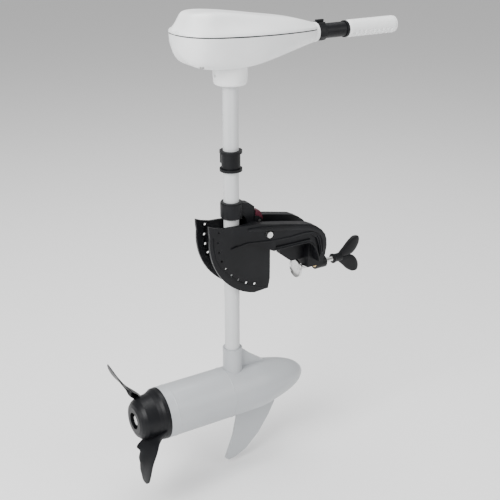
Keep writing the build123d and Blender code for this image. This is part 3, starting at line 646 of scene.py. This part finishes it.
def on_a_rib(p, n):
    """Every half radian round from the top, a rib about an eighth of a radian wide."""
    turn = (p - Vector((p.x, 0, tiller))).angle(Vector((0, 0, 1)))
    return abs(n.x) < 0.1 and abs(turn % 0.5) < 0.13


pick(on_a_rib, "FACE")
bpy.ops.mesh.inset(thickness=0.0008, use_individual=True)
bpy.ops.transform.shrink_fatten(value=0.0006)
pick(lambda p, n: n.z > 0.985, "FACE")
bpy.ops.mesh.inset(thickness=0.0004)
bpy.ops.mesh.extrude_region_move(TRANSFORM_OT_translate={"value": (0, 0, 0.0034)})
modify(collar, "SOLIDIFY", thickness=0.0022, offset=-1)
close(collar, "extension_ring", "black_plastic", ["extension_lock"], 40, 0.0004)
ring = bar_x("nozzle_bezel", 0.0175, nozzle - 0.009, nozzle, 56, cap="NOTHING")
pick(lambda p, n: p.x > nozzle - 0.0001)
bpy.ops.mesh.select_mode(type="EDGE")
bpy.ops.mesh.extrude_region_move(TRANSFORM_OT_translate={"value": (0, 0, 0)})
bpy.ops.transform.resize(value=(1, 0.81, 0.81), center_override=(nozzle, 0, tiller))
bpy.ops.mesh.extrude_region_move(TRANSFORM_OT_translate={"value": (-0.03, 0, 0)})
bpy.ops.mesh.select_all(action="SELECT")
bpy.ops.mesh.normals_make_consistent(inside=False)
close(ring, "column", "white_shell", ["nozzle_ring"], 40, 0.0012, 3)

# %% [markdown]
# ## The clamp knob and its pad
# The knob is one black moulding: a hub with a collar, and two wide wings spread in a V that
# a hand can turn when it is cold. Each wing starts as a block cut into bands, which are set
# to the wing's outline, and subdivision makes it soft. The pad is a pressed steel cup.

# %% Winged knob
clamp_z = -0.0665
hub_x = column + 0.234
# One band a line: its distance from the hub's axis, then the wing's front and back edges,
# measured along X from the hub's end.
wing_bands = ((-.001, .008, .049), (.008, .013, .060), (.018, .025, .0665), (.028, .034, .0685),
              (.035, .044, .067), (.0385, .051, .062))


def wing(side):
    """One wing: a block cut into bands, each set between the outline's two edges."""
    piece = begin("wing", bpy.ops.mesh.primitive_cube_add, size=1, location=(0, 0, 12.5),
                  scale=(1, 0.0118, 5))
    for level in range(11, 15):
        slice_at((0, 0, level), (0, 0, 1))
    slice_at((0, 0, 12), (1, 0, 0))
    pick(lambda p, n: abs(p.x) > 0.1)
    bpy.ops.transform.resize(value=(1, 0.62, 1), center_override=(0, 0, 12.5))
    for level, (out, front, back) in enumerate(wing_bands):
        pick(lambda p, n: abs(p.z - 10 - level) < 1e-3)
        bpy.ops.transform.resize(value=(back - front, 1, 1), center_override=(0, 0, 10 + level))
        place = (hub_x + (front + back) / 2, 0, clamp_z + side * out - 10 - level)
        bpy.ops.transform.translate(value=place)
    bpy.ops.mesh.select_all(action="SELECT")
    bpy.ops.mesh.normals_make_consistent(inside=False)
    modify(piece, "SUBSURF", levels=2, render_levels=2)
    return piece


wings = [wing(1), wing(-1)]
hub = bar_x("clamp_wings", 0.0085, hub_x, hub_x + 0.022, 32, clamp_z)
slice_at((hub_x + 0.004, 0, clamp_z), (1, 0, 0))
slice_at((hub_x + 0.0055, 0, clamp_z), (1, 0, 0))
pick(lambda p, n: p.x < hub_x + 0.0045)
bpy.ops.transform.resize(value=(1, 1.18, 1.18), center_override=(hub_x, 0, clamp_z))
modify(hub, "BEVEL", width=0.0009, segments=2, limit_method="ANGLE", angle_limit=radians(30))
for piece in wings:
    piece.select_set(True)
bpy.ops.object.join()
close(hub, "screw", "black_plastic", ["clamp_knob"], 50)

# %% Pressed cup pad and the threaded rod
pad_x = column + 0.144
cup = bar_x("clamp_cup", 0.0185, pad_x - 0.001, pad_x + 0.004, 56, clamp_z)
pick(lambda p, n: n.x < -0.9, "FACE")
bpy.ops.mesh.inset(thickness=0.0016)
for inwards, deeper in ((0.003, 0.0022), (0.004, 0.0014), (0.005, 0.0006)):
    bpy.ops.transform.translate(value=(deeper, 0, 0))
    bpy.ops.mesh.inset(thickness=inwards)
pick(lambda p, n: n.x > 0.9 and p.x > pad_x + 0.0035, "FACE")
for grow, dx in ((0.86, 0.0016), (0.6, 0.0016), (0.56, 0.0016), (0.82, 0.0046)):
    bpy.ops.mesh.extrude_region_move(TRANSFORM_OT_translate={"value": (dx, 0, 0)})
    mesh = bmesh.from_edit_mesh(cup.data)
    x = max(v.co.x for v in mesh.verts)
    bpy.ops.transform.resize(value=(1, grow, grow), center_override=(x, 0, clamp_z))
close(cup, "pad", "steel", ["clamp_pad"], 40, 0.0006)

rod_r, pitch, root = 0.005, 0.0018, 0.86     # root: the groove's share of the rod's radius
rod_start, rod_end = pad_x + 0.003, hub_x + 0.014
rod = begin("clamp_rod", bpy.ops.mesh.primitive_circle_add, vertices=20, radius=rod_r - 0.0002,
            location=(rod_start, 0, clamp_z), rotation=(0, pi / 2, 0))
turns = int((rod_end - rod_start) / pitch)
half_turn = ((rod_end - rod_start) / turns / 2, 0, 0)
for n in range(turns * 2):
    grow = root if n % 2 == 0 else 1 / root
    bpy.ops.mesh.extrude_region_move(TRANSFORM_OT_translate={"value": half_turn})
    bpy.ops.transform.resize(value=(1, grow, grow), center_override=(0, 0, clamp_z))
bpy.ops.mesh.select_all(action="SELECT")
bpy.ops.mesh.fill_holes(sides=64)
bpy.ops.mesh.normals_make_consistent(inside=False)
close(rod, "screw", "steel", ["clamp_screw"], 25)
